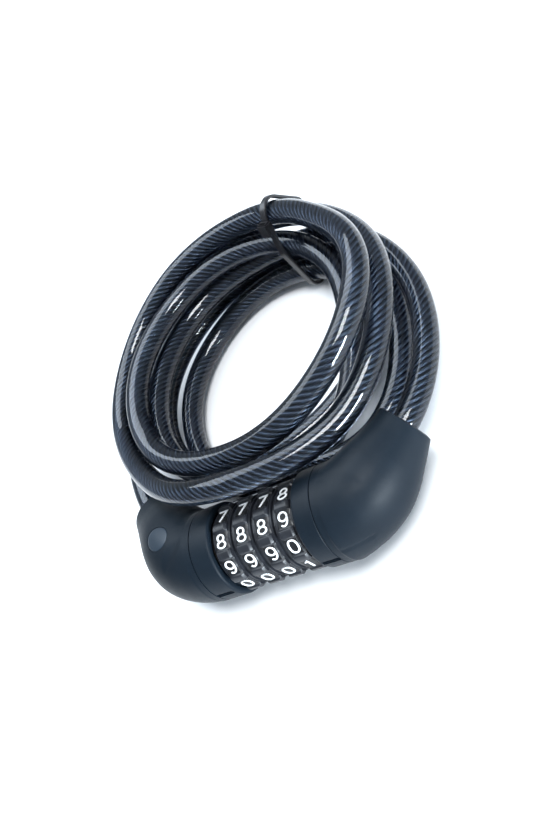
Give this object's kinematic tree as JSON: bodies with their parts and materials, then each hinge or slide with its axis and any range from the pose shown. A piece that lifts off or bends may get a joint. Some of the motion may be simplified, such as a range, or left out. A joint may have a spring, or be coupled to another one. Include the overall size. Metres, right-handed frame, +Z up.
{
  "type": "combination cable lock",
  "caption": "Combination cable lock: number dials between two bent housings, with a sheathed steel cable wound into a tied bundle and fixed in both housings",
  "frame": {"origin": "bottom centre of the lock's own box, without the cable and its tie, on the surface the lock lies on", "axes": "+X along the lock from the body housing to the plug housing, +Y from the lock towards the wound cable, +Z up"},
  "size_m": [0.1277, 0.1343, 0.0418],
  "materials": {
    "housing": "soft-touch matte blue-black, fine grain",
    "badge": "matte grey-blue, blank",
    "number_dials": "black, satin, white numbers in recessed panels",
    "rings": "plain stamped",
    "bright_steel": "turned, zinc plated",
    "spring_steel": "plain spring steel",
    "rope": "stranded steel wire",
    "castings": "die-cast zinc, as cast",
    "grommets": "matte black rubber",
    "sheath": "smoke-tinted glossy PVC over braided steel rope",
    "tie": "black nylon"
  },
  "bodies": {
    "lock_body": {"body_cover": "housing", "body_collar": "housing", "body_badge": "badge", "body_insert": "castings", "body_pin": "bright_steel", "body_ferrule": "castings", "body_grommet": "grommets", "body_rope_end": "rope", "barrel": "bright_steel", "retaining_ring": "spring_steel", "stack_spring": "spring_steel", "detent_leaf": "spring_steel", "spacer_1": "number_dials", "spacer_2": "number_dials", "spacer_3": "number_dials", "cable": "sheath", "cable_tie": "tie"},
    "plug": {"plug_cover": "housing", "plug_collar": "housing", "plug_insert": "castings", "plug_pin": "bright_steel", "plug_ferrule": "castings", "plug_grommet": "grommets", "plug_rope_end": "rope", "latch_bolt": "bright_steel", "cable_plug_end": "sheath"},
    "number_dial_1": {"dial_1": "number_dials", "code_ring_1": "rings"},
    "number_dial_2": {"dial_2": "number_dials", "code_ring_2": "rings"},
    "number_dial_3": {"dial_3": "number_dials", "code_ring_3": "rings"},
    "number_dial_4": {"dial_4": "number_dials", "code_ring_4": "rings"}
  },
  "joints": [
    {"name": "plug_slide", "type": "slide", "parent": "lock_body", "child": "plug", "axis": [1, 0, 0], "range_m": [0, 0.034]},
    {"name": "dial_1_turn", "type": "hinge", "parent": "lock_body", "child": "number_dial_1", "pos_m": [-0.00895, -0.00628, 0.01428], "axis": [1, 0, 0], "continuous": true},
    {"name": "dial_2_turn", "type": "hinge", "parent": "lock_body", "child": "number_dial_2", "pos_m": [-0.00135, -0.00628, 0.01428], "axis": [1, 0, 0], "continuous": true},
    {"name": "dial_3_turn", "type": "hinge", "parent": "lock_body", "child": "number_dial_3", "pos_m": [0.00625, -0.00628, 0.01428], "axis": [1, 0, 0], "continuous": true},
    {"name": "dial_4_turn", "type": "hinge", "parent": "lock_body", "child": "number_dial_4", "pos_m": [0.01385, -0.00628, 0.01428], "axis": [1, 0, 0], "continuous": true}
  ]
}
